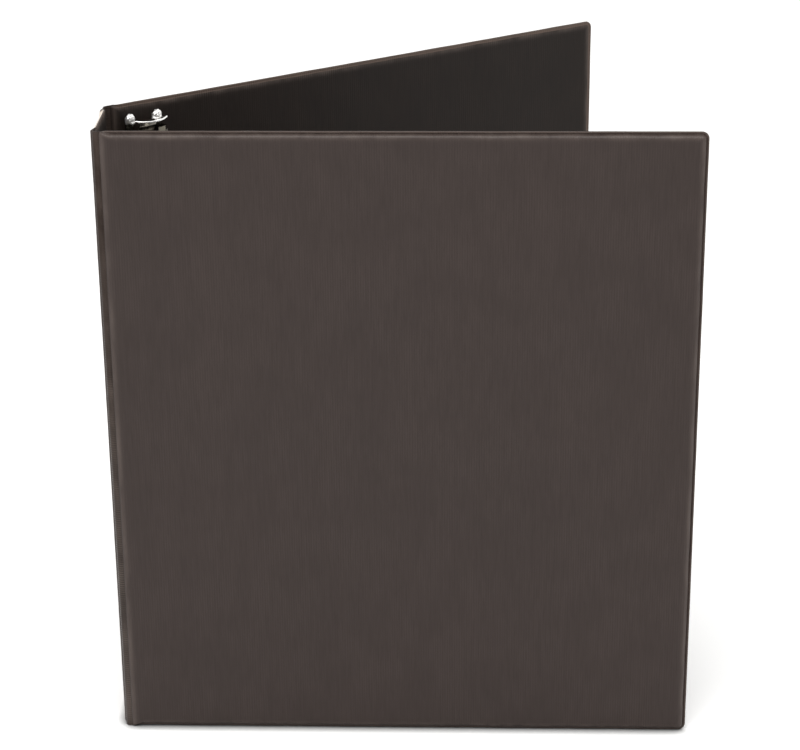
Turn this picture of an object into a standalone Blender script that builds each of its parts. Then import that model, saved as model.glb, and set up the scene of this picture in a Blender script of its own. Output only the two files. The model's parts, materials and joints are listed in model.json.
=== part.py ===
"""A three-ring binder, standing on its lower edges with the covers part open.

The frame's origin is the middle of the spine's foot. +Z is up, the spine's outer face looks to -X
and the front cover's outer face looks to -Y. The back cover is swung open about the back hinge.
Each cover is modelled in a local frame whose origin is on its hinge axis: local X runs from the hinge
to the free edge, and local Y runs through the cover's thickness.
"""

import math

import bmesh
import bpy
from mathutils import Vector

MM = 0.001

# Covers and spine. The stack of each is outer vinyl, board, inner vinyl.
HEIGHT = 292.1 * MM
COVER_WIDTH = 263.7 * MM
SPINE_WIDTH = 39.6 * MM
BACK_OPENING = math.radians(33.5)
THICKNESS = 2.9 * MM
VINYL = 0.4 * MM
LAYER_GAP = 0.2 * MM
RIM_WIDTH = 2.6 * MM
RIM_BACK = 2.3 * MM
FREE_RADIUS = 3.2 * MM
HINGE_RADIUS = 1.2 * MM
CORNER_STEPS = 6
HINGE_GAP = 2.75 * MM
HINGE_THICKNESS = 0.8 * MM
HINGE_DEPTH = 0.9 * MM
HINGE_FILLET = 2.6 * MM
POCKET_HEIGHT = 165.0 * MM
POCKET_START = 42.0 * MM
POCKET_MARGIN = 6.0 * MM

PIVOT_Y = SPINE_WIDTH / 2 - THICKNESS / 2
FREE_EDGE = COVER_WIDTH - THICKNESS / 2
MIDDLE = HEIGHT / 2

# Ring mechanism, on the back cover's inner face. u runs across it and v stands up from that face.
MECHANISM_X = 17.2 * MM
HOUSING_HALF_LENGTH = 141.6 * MM
HOUSING_HALF_WIDTH = 10.2 * MM
HOUSING_SHEET = 0.8 * MM
HOUSING_WALL_TOP = 3.6 * MM
HOUSING_CROWN = 6.2 * MM
HOUSING_FOOT = 0.3 * MM
BEAD_WIDTH = 1.6 * MM
BEAD_TOP = 1.6 * MM
LEVER_SLOT_HALF_WIDTH = 5.4 * MM
LEVER_SLOT_LENGTH = 15.5 * MM
END_STEP = 5.6 * MM
LUG_INNER_U = 5.0 * MM
LUG_TOP = 3.0 * MM

PLATE_PIVOT_U = 8.7 * MM
PLATE_PIVOT_V = 2.7 * MM
PLATE_SHEET = 1.0 * MM
PLATE_HALF_LENGTH = 126.75 * MM
PLATE_CENTRE_GAP = 0.5 * MM
PLATE_CLOSED = math.radians(-6.0)

RING_SPACING = 107.95 * MM
WIRE_RADIUS = 1.6 * MM
RING_FOOT_U = 6.0 * MM
RING_FOOT_V = 1.9 * MM
RING_TOP_V = 28.4 * MM
CURVE_SIDE_U = 11.2 * MM
POST_SIDE_U = 11.0 * MM
TIP_U = 4.6 * MM
TIP_GAP = 0.3 * MM
RING_CLEARANCE = 0.35 * MM

RIVET_Z = 118.5 * MM
RIVET_RADIUS = 2.3 * MM
RIVET_CLEARANCE = 0.3 * MM

LEVER_Z = 131.25 * MM
LEVER_V = 3.0 * MM
LEVER_SHEET = 0.8 * MM
LEVER_NECK_HALF_WIDTH = 4.3 * MM
LEVER_TONGUE_HALF_WIDTH = 2.8 * MM
LEVER_LIP_HALF_WIDTH = 8.0 * MM
PIN_RADIUS = 0.8 * MM
PIN_CLEARANCE = 0.15 * MM


def clear_scene():
    for obj in list(bpy.data.objects):
        bpy.data.objects.remove(obj)


def material(name, color, roughness, metallic):
    made = bpy.data.materials.new(name)
    made.use_nodes = True
    shader = made.node_tree.nodes["Principled BSDF"]
    shader.inputs["Base Color"].default_value = (*color, 1.0)
    shader.inputs["Roughness"].default_value = roughness
    shader.inputs["Metallic"].default_value = metallic
    made.diffuse_color = (*color, 1.0)
    return made


def empty(name, location=(0, 0, 0), turn=0.0, parent=None):
    """A frame on a joint axis, turned about Z."""
    made = bpy.data.objects.new(name, None)
    made.location = location
    made.rotation_euler = (0, 0, turn)
    made.parent = parent
    bpy.context.scene.collection.objects.link(made)
    return made


def add(name, mesh, look, parent):
    mesh.materials.append(look)
    made = bpy.data.objects.new(name, mesh)
    made.parent = parent
    bpy.context.scene.collection.objects.link(made)
    return made


def finish_mesh(name, bm, smooth_angle=35):
    """A closed mesh from bm, with its normals facing out and only its sharp edges left sharp."""
    bmesh.ops.recalc_face_normals(bm, faces=bm.faces)
    mesh = bpy.data.meshes.new(name)
    bm.to_mesh(mesh)
    bm.free()
    mesh.shade_smooth()
    mesh.set_sharp_from_angle(angle=math.radians(smooth_angle))
    return mesh


def close_between(bm, rings):
    """Faces over the first and last of a stack of loops, and walls between them."""
    bm.faces.new(rings[0])
    bm.faces.new(rings[-1])
    count = len(rings[0])
    for lower, upper in zip(rings, rings[1:]):
        for i in range(count):
            j = (i + 1) % count
            bm.faces.new((lower[i], lower[j], upper[j], upper[i]))


def prism(name, outline, start, end, axis="Z"):
    """A mesh of a 2D outline extruded from start to end along one local axis."""
    place = {
        "Z": lambda a, b, c: (a, b, c),
        "X": lambda a, b, c: (c, a, b),
    }[axis]
    bm = bmesh.new()
    close_between(bm, [[bm.verts.new(place(a, b, c)) for a, b in outline] for c in (start, end)])
    return finish_mesh(name, bm)


def arc(centre, radius, start, end, steps):
    """Points along an arc, its ends included. Angles are in degrees."""
    turns = [math.radians(start + (end - start) * i / steps) for i in range(steps + 1)]
    return [
        (centre[0] + radius * math.cos(t), centre[1] + radius * math.sin(t)) for t in turns
    ]


def cutter(name, mesh, parent):
    made = bpy.data.objects.new(name, mesh)
    made.parent = parent
    made.hide_render = True
    made.display_type = "WIRE"
    bpy.context.scene.collection.objects.link(made)
    return made


def cut(obj, tools, operation="DIFFERENCE"):
    for tool in tools:
        modifier = obj.modifiers.new(tool.name, "BOOLEAN")
        modifier.operation = operation
        modifier.solver = "EXACT"
        modifier.object = tool


# ---------------------------------------------------------------- covers and spine


def panel_outline(x0, x1, inset, hinge_radius, free_radius):
    """A rounded rectangle in X and Z, pulled in by inset all round. x0 is the hinge side."""
    corners = (
        (x1, 0, free_radius, -1, 1, -90),
        (x1, HEIGHT, free_radius, -1, -1, 0),
        (x0, HEIGHT, hinge_radius, 1, -1, 90),
        (x0, 0, hinge_radius, 1, 1, 180),
    )
    points = []
    for x, z, radius, to_x, to_z, start in corners:
        bend = max(radius - inset, 0.5 * MM)
        centre = (x + to_x * (inset + bend), z + to_z * (inset + bend))
        points += arc(centre, bend, start, start + 90, CORNER_STEPS)
    return points


def lofted_panel(name, loops, side):
    """A closed solid through loops, each an outline in X and Z and its depth below the outer face."""
    bm = bmesh.new()
    rings = [
        [bm.verts.new((x, side * (THICKNESS / 2 - depth), z)) for x, z in outline]
        for outline, depth in loops
    ]
    close_between(bm, rings)
    return finish_mesh(name, bm)


def make_panel(prefix, parent, side, x0, x1, free_radius, looks):
    """Outer vinyl, board and inner vinyl of one cover. The outer vinyl wraps the board's edges."""

    def outline(inset):
        return panel_outline(x0, x1, inset, HINGE_RADIUS, free_radius)

    board_top = VINYL + LAYER_GAP
    board_back = THICKNESS - VINYL - LAYER_GAP
    outer = [
        (outline(RIM_WIDTH), 0),
        (outline(0.5 * MM), 0.6 * MM),
        (outline(0), 1.1 * MM),
        (outline(0), RIM_BACK),
        (outline(RIM_WIDTH), RIM_BACK),
        (outline(RIM_WIDTH), VINYL),
    ]
    board_inset = RIM_WIDTH + LAYER_GAP
    board = [(outline(board_inset), board_top), (outline(board_inset), board_back)]
    inner = [
        (outline(0.4 * MM), THICKNESS - VINYL),
        (outline(0.4 * MM), THICKNESS - VINYL / 2),
        (outline(0.7 * MM), THICKNESS),
    ]
    made = {}
    for part, loops in (("outer_vinyl", outer), ("board", board), ("inner_vinyl", inner)):
        name = f"{prefix}_{part}"
        look = looks["board" if part == "board" else "vinyl"]
        made[part] = add(name, lofted_panel(name, loops, side), look, parent)
    return made


def make_pocket(name, parent, side, looks):
    """The thin sheet welded over the lower part of a cover's inner face."""
    top = POCKET_HEIGHT
    near, far = POCKET_START, FREE_EDGE - POCKET_MARGIN
    low = POCKET_MARGIN
    radius = 3.0 * MM
    outline = (
        arc((far - radius, low + radius), radius, -90, 0, CORNER_STEPS)
        + arc((far - radius, top - radius), radius, 0, 90, CORNER_STEPS)
        + arc((near + radius, top - radius), radius, 90, 180, CORNER_STEPS)
        + arc((near + radius, low + radius), radius, 180, 270, CORNER_STEPS)
    )
    lift = THICKNESS + LAYER_GAP
    loops = [(outline, lift), (outline, lift + VINYL)]
    return add(name, lofted_panel(name, loops, side), looks["vinyl"], parent)


def make_hinge_strip(name, parent, turn, mirrored, looks):
    """The welded vinyl that turns the corner from the spine to a cover, in the pivot's own frame.

    The strip leaves the spine along one straight, bends by turn and runs on to the cover.
    """
    offset = THICKNESS / 2 - HINGE_DEPTH
    half = math.tan(turn / 2)
    reach = HINGE_GAP + offset * half - 0.25 * MM
    corner = Vector((-offset, offset * half))
    back = Vector((0.0, -1.0))
    onward = Vector((math.sin(turn), math.cos(turn)))
    centre = corner + back * HINGE_FILLET * half + Vector((HINGE_FILLET, 0))
    steps = 8
    line = [(corner + back * reach, Vector((1.0, 0.0)))]
    for i in range(steps + 1):
        angle = turn * i / steps
        inward = Vector((math.cos(angle), -math.sin(angle)))
        line.append((centre - inward * HINGE_FILLET, inward))
    line.append((corner + onward * reach, Vector((math.cos(turn), -math.sin(turn)))))
    thick = HINGE_THICKNESS / 2
    outline = [p - n * thick for p, n in line] + [p + n * thick for p, n in reversed(line)]
    if mirrored:
        outline = [Vector((p.x, -p.y)) for p in outline]
    margin = 0.5 * MM
    mesh = prism(name, outline, margin, HEIGHT - margin)
    return add(name, mesh, looks["vinyl"], parent)


# ---------------------------------------------------------------- ring mechanism


def uv(u, v):
    """A point of the mechanism's section in the back cover's frame."""
    return (MECHANISM_X + u, -THICKNESS / 2 - v)


def box(name, low, high, parent):
    """A box cutter given by its corners in u, v and Z."""
    (x0, y0), (x1, y1) = uv(low[0], low[1]), uv(high[0], high[1])
    outline = [(x0, y0), (x1, y0), (x1, y1), (x0, y1)]
    return cutter(name, prism(name, outline, low[2], high[2]), parent)


def round_cutter(name, u, z, radius, v0, v1, parent, stretch=0.0):
    """A cylinder along v, drawn out along u by stretch each way."""
    steps = 12
    outline = arc((stretch, 0), radius, -90, 90, steps)
    outline += arc((-stretch, 0), radius, 90, 270, steps)
    bm = bmesh.new()
    rings = []
    for v in (v0, v1):
        rings.append([bm.verts.new((*uv(u + a, v), z + b)) for a, b in outline])
    close_between(bm, rings)
    return cutter(name, finish_mesh(name, bm), parent)


def end_lug(name, side, sign, parent):
    """The rounded lug that ends the housing beside the lever."""
    end = MIDDLE + sign * HOUSING_HALF_LENGTH
    root = end - sign * (END_STEP + 0.6 * MM)
    inner, outer = side * LUG_INNER_U, side * HOUSING_HALF_WIDTH
    radius = 1.8 * MM
    outline = [(outer, root), (inner, root)]
    for corner, toward in ((inner, side), (outer, -side)):
        centre = (corner + toward * radius, end - sign * radius)
        for i in range(CORNER_STEPS + 1):
            turn = math.radians(90 * i / CORNER_STEPS)
            if corner == outer:
                turn = math.radians(90) - turn
            across, along = -toward * math.cos(turn), sign * math.sin(turn)
            outline.append((centre[0] + radius * across, centre[1] + radius * along))
    bm = bmesh.new()
    rings = []
    for v in (HOUSING_FOOT, LUG_TOP):
        rings.append([bm.verts.new((*uv(u, v), z)) for u, z in outline])
    close_between(bm, rings)
    return cutter(name, finish_mesh(name, bm), parent)


def pin_cutter(name, z, radius, parent):
    """The cylinder along u that a lever pin needs through the housing's walls."""
    reach = HOUSING_HALF_WIDTH + 1.0 * MM
    centre_y = uv(0, LEVER_V)[1]
    outline = arc((centre_y, z), radius, 0, 345, 23)
    mesh = prism(name, outline, MECHANISM_X - reach, MECHANISM_X + reach, axis="X")
    return cutter(name, mesh, parent)


def housing_outline():
    """The arched channel: short walls, a shallow crown, and an inward bead along each foot."""
    half, sheet = HOUSING_HALF_WIDTH, HOUSING_SHEET
    rise = HOUSING_CROWN - HOUSING_WALL_TOP
    radius = (half**2 + rise**2) / (2 * rise)
    centre = (0, HOUSING_CROWN - radius)
    spread = math.degrees(math.asin(half / radius))
    inner_radius = radius - sheet
    inner_spread = math.degrees(math.asin((half - sheet) / inner_radius))
    steps = 14
    over = arc(centre, radius, 90 - spread, 90 + spread, steps)
    under = arc(centre, inner_radius, 90 + inner_spread, 90 - inner_spread, steps)
    left = [
        (-half, HOUSING_FOOT),
        (-half + BEAD_WIDTH, HOUSING_FOOT),
        (-half + BEAD_WIDTH, BEAD_TOP - 0.4 * MM),
        (-half + sheet, BEAD_TOP),
    ]
    right = [(-u, v) for u, v in reversed(left)]
    return over + left + under + right


def make_housing(parent, looks):
    outline = [uv(u, v) for u, v in housing_outline()]
    low, high = MIDDLE - HOUSING_HALF_LENGTH, MIDDLE + HOUSING_HALF_LENGTH
    housing = add("ring_housing", prism("ring_housing", outline, low, high), looks["steel"], parent)
    tools, lugs = [], []
    above = HOUSING_CROWN + 1.0 * MM
    half, wide = LEVER_SLOT_HALF_WIDTH, HOUSING_HALF_WIDTH + 1.0 * MM
    for label, sign in (("top", 1), ("bottom", -1)):
        end = MIDDLE + sign * (HOUSING_HALF_LENGTH + 1.0 * MM)
        slot = sorted((end, MIDDLE + sign * (HOUSING_HALF_LENGTH - LEVER_SLOT_LENGTH)))
        step = sorted((end, MIDDLE + sign * (HOUSING_HALF_LENGTH - END_STEP)))
        tools.append(
            box(f"slot_{label}", (-half, HOUSING_WALL_TOP, slot[0]), (half, above, slot[1]), parent)
        )
        tools.append(box(f"step_{label}", (-wide, 0, step[0]), (wide, above, step[1]), parent))
        lugs += [end_lug(f"lug_{label}_{side + 1}", side, sign, parent) for side in (-1, 1)]
        rivet_z = MIDDLE + sign * RIVET_Z
        hole = RIVET_RADIUS + RIVET_CLEARANCE
        tools.append(round_cutter(f"rivet_hole_{label}", 0, rivet_z, hole, 4 * MM, above, parent))
        pin_z = MIDDLE + sign * LEVER_Z
        tools.append(pin_cutter(f"pin_hole_{label}", pin_z, PIN_RADIUS + PIN_CLEARANCE, parent))
    radius = WIRE_RADIUS + RING_CLEARANCE
    for i, z in enumerate(ring_heights()):
        for side in (-1, 1):
            name = f"ring_slot_{i}_{side + 1}"
            u = side * (RING_FOOT_U + 0.4 * MM)
            tools.append(round_cutter(name, u, z, radius, 2.2 * MM, above, parent, 1.0 * MM))
    cut(housing, tools)
    cut(housing, lugs, "UNION")
    return housing


def ring_heights():
    return [MIDDLE + step * RING_SPACING for step in (1, 0, -1)]


def make_plate(name, side, pivot, looks):
    """One hinge plate in its pivot's frame, with a rounded outer edge and holes for its ring feet."""
    width = PLATE_PIVOT_U - PLATE_CENTRE_GAP / 2
    thick = PLATE_SHEET / 2
    section = arc((0, 0), thick, 90, 270, 6) + [(width, -thick), (width, thick)]
    turned = []
    for a, b in section:
        across = a * math.cos(PLATE_CLOSED) - b * math.sin(PLATE_CLOSED)
        up = a * math.sin(PLATE_CLOSED) + b * math.cos(PLATE_CLOSED)
        turned.append((-side * across, -up))
    low, high = MIDDLE - PLATE_HALF_LENGTH, MIDDLE + PLATE_HALF_LENGTH
    plate = add(name, prism(name, turned, low, high), looks["steel"], pivot)
    frame = pivot.parent
    radius = WIRE_RADIUS + RING_CLEARANCE
    tools = [
        round_cutter(f"{name}_foot_{i}", side * RING_FOOT_U, z, radius, 0, 5 * MM, frame)
        for i, z in enumerate(ring_heights())
    ]
    for label, sign in (("top", 1), ("bottom", -1)):
        hole = RIVET_RADIUS + 2.4 * MM
        z = MIDDLE + sign * RIVET_Z
        tools.append(round_cutter(f"{name}_rivet_{label}", 0, z, hole, 0, 5 * MM, frame))
    cut(plate, tools)
    return plate


def rounded_path(points, radii, steps=7):
    """A polyline through points whose inner corners are rounded to radii."""
    points = [Vector(p) for p in points]
    path = [points[0]]
    for before, corner, after, radius in zip(points, points[1:], points[2:], radii):
        into, out = (before - corner).normalized(), (after - corner).normalized()
        half = into.angle(out) / 2
        reach = radius / math.tan(half)
        centre = corner + (into + out).normalized() * radius / math.sin(half)
        start = (corner + into * reach - centre).normalized()
        end = (corner + out * reach - centre).normalized()
        for i in range(steps + 1):
            path.append(centre + start.slerp(end, i / steps) * radius)
    path.append(points[-1])
    return path


def make_ring_half(name, path, z, pivot, pivot_uv, looks):
    """A half ring of bent wire, swept along path in the mechanism's section."""
    curve = bpy.data.curves.new(name, "CURVE")
    curve.dimensions = "3D"
    curve.bevel_depth = WIRE_RADIUS
    curve.bevel_resolution = 3
    curve.use_fill_caps = True
    spline = curve.splines.new("POLY")
    spline.points.add(len(path) - 1)
    for point, (u, v) in zip(spline.points, path):
        point.co = (u - pivot_uv[0], -(v - pivot_uv[1]), z, 1.0)
    return add(name, curve, looks["chrome"], pivot)


def curved_path():
    """From the plate on the spine side, out and over the top to the tips."""
    corners = [
        (-RING_FOOT_U, RING_FOOT_V),
        (-RING_FOOT_U, 7.2 * MM),
        (-CURVE_SIDE_U, 9.8 * MM),
        (-CURVE_SIDE_U, RING_TOP_V),
        (TIP_U - TIP_GAP / 2, RING_TOP_V),
    ]
    return rounded_path(corners, [2.6 * MM, 3.0 * MM, 14.2 * MM], steps=9)


def post_path():
    """From the plate on the page side, out and straight up to the tips."""
    corners = [
        (RING_FOOT_U, RING_FOOT_V),
        (RING_FOOT_U, 6.9 * MM),
        (POST_SIDE_U, 9.2 * MM),
        (POST_SIDE_U, RING_TOP_V),
        (TIP_U + TIP_GAP / 2, RING_TOP_V),
    ]
    return rounded_path(corners, [2.6 * MM, 3.0 * MM, 4.6 * MM])


def make_rivet(name, z, parent, looks):
    """A turned rivet: a domed head on the back cover's outside, a shank and a clinched inner head."""
    outside = -THICKNESS - 0.25 * MM
    inside = HOUSING_CROWN + 0.25 * MM
    profile = [
        (0, outside - 1.3 * MM),
        (2.4 * MM, outside - 1.15 * MM),
        (4.2 * MM, outside - 0.7 * MM),
        (5.2 * MM, outside - 0.2 * MM),
        (5.2 * MM, outside),
        (RIVET_RADIUS, outside),
        (RIVET_RADIUS, inside),
        (3.7 * MM, inside),
        (3.7 * MM, inside + 0.3 * MM),
        (2.6 * MM, inside + 0.9 * MM),
        (0, inside + 1.0 * MM),
    ]
    steps = 28
    bm = bmesh.new()
    low, high = (bm.verts.new((*uv(0, v), z)) for v in (profile[0][1], profile[-1][1]))
    rings = []
    for radius, v in profile[1:-1]:
        ring = []
        for i in range(steps):
            turn = 2 * math.pi * i / steps
            ring.append(bm.verts.new((*uv(radius * math.cos(turn), v), z + radius * math.sin(turn))))
        rings.append(ring)
    for i in range(steps):
        j = (i + 1) % steps
        bm.faces.new((low, rings[0][i], rings[0][j]))
        bm.faces.new((high, rings[-1][i], rings[-1][j]))
        for lower, upper in zip(rings, rings[1:]):
            bm.faces.new((lower[i], lower[j], upper[j], upper[i]))
    return add(name, finish_mesh(name, bm), looks["chrome"], parent)


def lever_outline():
    """The lever's side view about its pivot: s runs outwards from the pivot and w up from it.

    A tongue reaches in under the plates, a knuckle wraps the pin, and a neck rises to a thumb tab.
    """
    sheet = LEVER_SHEET
    knuckle = PIN_RADIUS + PIN_CLEARANCE + sheet
    under = [
        (-6.0 * MM, -2.8 * MM),
        (-2.0 * MM, -2.8 * MM),
        (0.3 * MM, -knuckle - 0.15 * MM),
    ]
    rising = arc((0, 0), knuckle, -70, 10, 5)
    neck = [
        (5.4 * MM, 2.6 * MM),
        (7.6 * MM, 4.2 * MM),
        (8.9 * MM, 8.6 * MM),
        (9.2 * MM, 9.3 * MM),
        (8.8 * MM, 9.6 * MM),
        (8.1 * MM, 8.9 * MM),
        (6.8 * MM, 4.9 * MM),
        (4.9 * MM, 3.4 * MM),
    ]
    falling = arc((0, 0), knuckle, 60, 190, 8)
    over = [(-2.2 * MM, -2.1 * MM), (-6.0 * MM, -2.1 * MM)]
    return under + rising + neck + falling + over


def make_lever(name, sign, pivot, looks):
    """The release lever of one end, in its pivot's frame. sign is +1 at the top and -1 below."""
    outline = [(-w, sign * s) for s, w in lever_outline()]
    wide = LEVER_LIP_HALF_WIDTH
    lever = add(name, prism(name, outline, -wide, wide, axis="X"), looks["chrome"], pivot)
    tools = []
    stretches = (
        ("neck", LEVER_NECK_HALF_WIDTH, -8.0 * MM, 6.3 * MM),
        ("tongue", LEVER_TONGUE_HALF_WIDTH, -8.0 * MM, -2.3 * MM),
    )
    for side in (-1, 1):
        for label, half_width, near, far in stretches:
            across = sorted((side * half_width, side * (wide + 1.0 * MM)))
            low, high = sorted((sign * near, sign * far))
            outline = [(-11.0 * MM, low), (5.0 * MM, low), (5.0 * MM, high), (-11.0 * MM, high)]
            tool = f"{name}_{label}_{side + 1}"
            tools.append(cutter(tool, prism(tool, outline, *across, axis="X"), pivot))
    hole = arc((0, 0), PIN_RADIUS + PIN_CLEARANCE, 0, 345, 23)
    tool = f"{name}_bore"
    reach = wide + 1.0 * MM
    tools.append(cutter(tool, prism(tool, hole, -reach, reach, axis="X"), pivot))
    cut(lever, tools)
    return lever


def make_pin(name, z, parent, looks):
    reach = HOUSING_HALF_WIDTH - 0.1 * MM
    centre_y = uv(0, LEVER_V)[1]
    outline = arc((centre_y, z), PIN_RADIUS, 0, 345, 23)
    mesh = prism(name, outline, MECHANISM_X - reach, MECHANISM_X + reach, axis="X")
    return add(name, mesh, looks["steel"], parent)


def make_mechanism(back, looks):
    make_housing(back, looks)
    halves = (("spine_side", -1, "curved", curved_path()), ("page_side", 1, "post", post_path()))
    for place, side, shape, path in halves:
        pivot_uv = (side * PLATE_PIVOT_U, PLATE_PIVOT_V)
        pivot = empty(f"{place}_plate_axis", (*uv(*pivot_uv), 0), parent=back)
        make_plate(f"hinge_plate_{place}", side, pivot, looks)
        for label, z in zip(("top", "middle", "bottom"), ring_heights()):
            make_ring_half(f"{shape}_ring_half_{label}", path, z, pivot, pivot_uv, looks)
    for label, sign in (("top", 1), ("bottom", -1)):
        lever_z = MIDDLE + sign * LEVER_Z
        pivot = empty(f"lever_{label}_axis", (*uv(0, LEVER_V), lever_z), parent=back)
        make_lever(f"lever_{label}", sign, pivot, looks)
        make_pin(f"lever_pin_{label}", lever_z, back, looks)
        make_rivet(f"rivet_{label}", MIDDLE + sign * RIVET_Z, back, looks)


def main():
    clear_scene()
    looks = {
        "vinyl": material("black_vinyl", (0.050, 0.040, 0.037), 0.48, 0.0),
        "board": material("chipboard", (0.33, 0.27, 0.20), 0.9, 0.0),
        "steel": material("nickel_plated_steel", (0.62, 0.61, 0.58), 0.28, 1.0),
        "chrome": material("bright_nickel", (0.78, 0.78, 0.76), 0.12, 1.0),
    }
    spine = empty("spine_frame", turn=math.radians(90))
    front = empty("front_hinge_axis", (0, -PIVOT_Y, 0))
    back = empty("back_hinge_axis", (0, PIVOT_Y, 0), BACK_OPENING)
    spine_end = PIVOT_Y - HINGE_GAP
    make_panel("spine", spine, 1, -spine_end, spine_end, HINGE_RADIUS, looks)
    make_panel("front", front, -1, HINGE_GAP, FREE_EDGE, FREE_RADIUS, looks)
    layers = make_panel("back", back, 1, HINGE_GAP, FREE_EDGE, FREE_RADIUS, looks)
    make_pocket("front_pocket", front, -1, looks)
    make_pocket("back_pocket", back, 1, looks)
    straight = math.radians(90)
    back_corner = empty("back_hinge_strip_frame", (0, PIVOT_Y, 0))
    make_hinge_strip("front_hinge_vinyl", front, straight, True, looks)
    make_hinge_strip("back_hinge_vinyl", back_corner, straight - BACK_OPENING, False, looks)
    make_mechanism(back, looks)
    holes = [
        round_cutter(
            f"cover_hole_{label}", 0, MIDDLE + sign * RIVET_Z,
            RIVET_RADIUS + RIVET_CLEARANCE, -THICKNESS - 1.0 * MM, 1.0 * MM, back,
        )
        for label, sign in (("top", 1), ("bottom", -1))
    ]
    for layer in layers.values():
        cut(layer, holes)
    bpy.context.view_layer.update()


main()
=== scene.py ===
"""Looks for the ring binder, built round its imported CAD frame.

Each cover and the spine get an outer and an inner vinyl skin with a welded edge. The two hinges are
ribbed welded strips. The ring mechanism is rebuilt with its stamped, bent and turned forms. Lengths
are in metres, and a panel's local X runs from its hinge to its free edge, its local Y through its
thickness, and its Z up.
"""

import json
import math

import bmesh
import bpy
import numpy as np
from mathutils import Matrix, Vector


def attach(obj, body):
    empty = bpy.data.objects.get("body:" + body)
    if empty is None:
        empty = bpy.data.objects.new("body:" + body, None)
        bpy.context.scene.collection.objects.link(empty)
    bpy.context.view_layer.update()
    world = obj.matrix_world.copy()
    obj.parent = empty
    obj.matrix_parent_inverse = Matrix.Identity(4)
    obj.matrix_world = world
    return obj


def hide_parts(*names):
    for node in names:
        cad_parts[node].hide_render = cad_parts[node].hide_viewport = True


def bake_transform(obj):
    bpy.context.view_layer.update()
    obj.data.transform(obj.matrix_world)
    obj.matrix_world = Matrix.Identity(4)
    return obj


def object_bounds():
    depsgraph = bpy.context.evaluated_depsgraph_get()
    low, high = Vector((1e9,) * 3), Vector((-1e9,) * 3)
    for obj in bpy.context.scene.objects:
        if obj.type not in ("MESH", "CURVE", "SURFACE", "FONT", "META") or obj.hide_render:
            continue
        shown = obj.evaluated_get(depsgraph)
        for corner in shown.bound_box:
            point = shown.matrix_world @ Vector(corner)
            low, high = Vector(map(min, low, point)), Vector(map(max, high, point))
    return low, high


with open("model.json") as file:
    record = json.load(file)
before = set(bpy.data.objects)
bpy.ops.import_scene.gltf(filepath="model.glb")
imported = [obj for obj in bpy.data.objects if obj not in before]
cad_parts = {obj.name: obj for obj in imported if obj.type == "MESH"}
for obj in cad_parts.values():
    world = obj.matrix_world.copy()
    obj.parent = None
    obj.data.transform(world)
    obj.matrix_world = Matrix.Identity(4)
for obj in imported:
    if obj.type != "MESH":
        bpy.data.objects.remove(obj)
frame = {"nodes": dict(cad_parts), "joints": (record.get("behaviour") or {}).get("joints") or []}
cad_low, cad_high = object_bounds()

MM = 0.001
JOINTS = {joint["name"]: joint for joint in frame["joints"]}


# ---------------- frames and sizes from the CAD


def joint_point(name):
    return Vector(JOINTS[name]["pos_m"])


OPENING = -math.radians(JOINTS["back_hinge"]["range_deg"][0])
SPINE = Matrix.Rotation(math.radians(90), 4, "Z")
FRONT = Matrix.Translation(joint_point("front_hinge"))
BACK = Matrix.Translation(joint_point("back_hinge")) @ Matrix.Rotation(OPENING, 4, "Z")


def local_box(node, place):
    """A CAD node's lowest and highest corners in a panel's own frame."""
    inverse = place.inverted()
    points = np.array([inverse @ vertex.co for vertex in frame["nodes"][node].data.vertices])
    return Vector(points.min(axis=0)), Vector(points.max(axis=0))


PANELS = {
    "front": (FRONT, -1, "front_cover"),
    "spine": (SPINE, 1, "spine"),
    "back": (BACK, 1, "back_cover"),
}
HEIGHT = cad_high.z
HALF = -local_box("front_outer_vinyl", FRONT)[0].y
FREE_RADIUS = 3.2 * MM
HINGE_RADIUS = 1.2 * MM

# The mechanism's section: u runs across it from the lever pivots, and v up from the inner face.
lever_axis = BACK.inverted() @ joint_point("lever_top_pivot")
MECHANISM_X = lever_axis.x
LEVER_V = -HALF - lever_axis.y
LEVER_REACH = lever_axis.z - HEIGHT / 2
MIDDLE = HEIGHT / 2


def uvz(u, v, z):
    """A point of the mechanism in the back cover's frame."""
    return (MECHANISM_X + u, -HALF - v, z)


# ---------------- mesh helpers


def add(name, mesh, place, look):
    mesh.materials.append(look)
    made = bpy.data.objects.new(name, mesh)
    bpy.context.scene.collection.objects.link(made)
    made.matrix_world = place
    return made


def mesh_from(name, points, faces, smooth_angle=40):
    """A mesh with its normals facing out, smooth but for its sharp edges."""
    mesh = bpy.data.meshes.new(name)
    mesh.from_pydata([tuple(p) for p in points], [], faces)
    bm = bmesh.new()
    bm.from_mesh(mesh)
    bmesh.ops.recalc_face_normals(bm, faces=bm.faces)
    bm.to_mesh(mesh)
    bm.free()
    mesh.shade_smooth()
    mesh.set_sharp_from_angle(angle=math.radians(smooth_angle))
    return mesh


def tube(loops, sides):
    """The faces of a closed body whose points are loops of that many sides, with an end cap on each."""
    faces = []
    for a in range(0, (loops - 1) * sides, sides):
        for k in range(sides):
            m, b = (k + 1) % sides, a + sides
            faces.append((a + k, a + m, b + m, b + k))
    return faces + [tuple(range(sides)), tuple(range((loops - 1) * sides, loops * sides))]


def mark_edge(mesh, values):
    """Stores how near each point is to a welded edge, for the vinyl materials."""
    attribute = mesh.attributes.new("edge", "FLOAT", "POINT")
    attribute.data.foreach_set("value", np.array(values, np.float32))


def smoothstep(value):
    value = np.clip(value, 0.0, 1.0)
    return value * value * (3 - 2 * value)


def wander(position, seed, wavelengths):
    """A smooth irregular wave from -1 to 1 along a line, as a sum of sines."""
    random = np.random.default_rng(seed)
    total = np.zeros_like(position)
    for wavelength in wavelengths:
        total = total + np.sin(2 * math.pi * position / wavelength + random.uniform(0, 2 * math.pi))
    return total / len(wavelengths)


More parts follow.
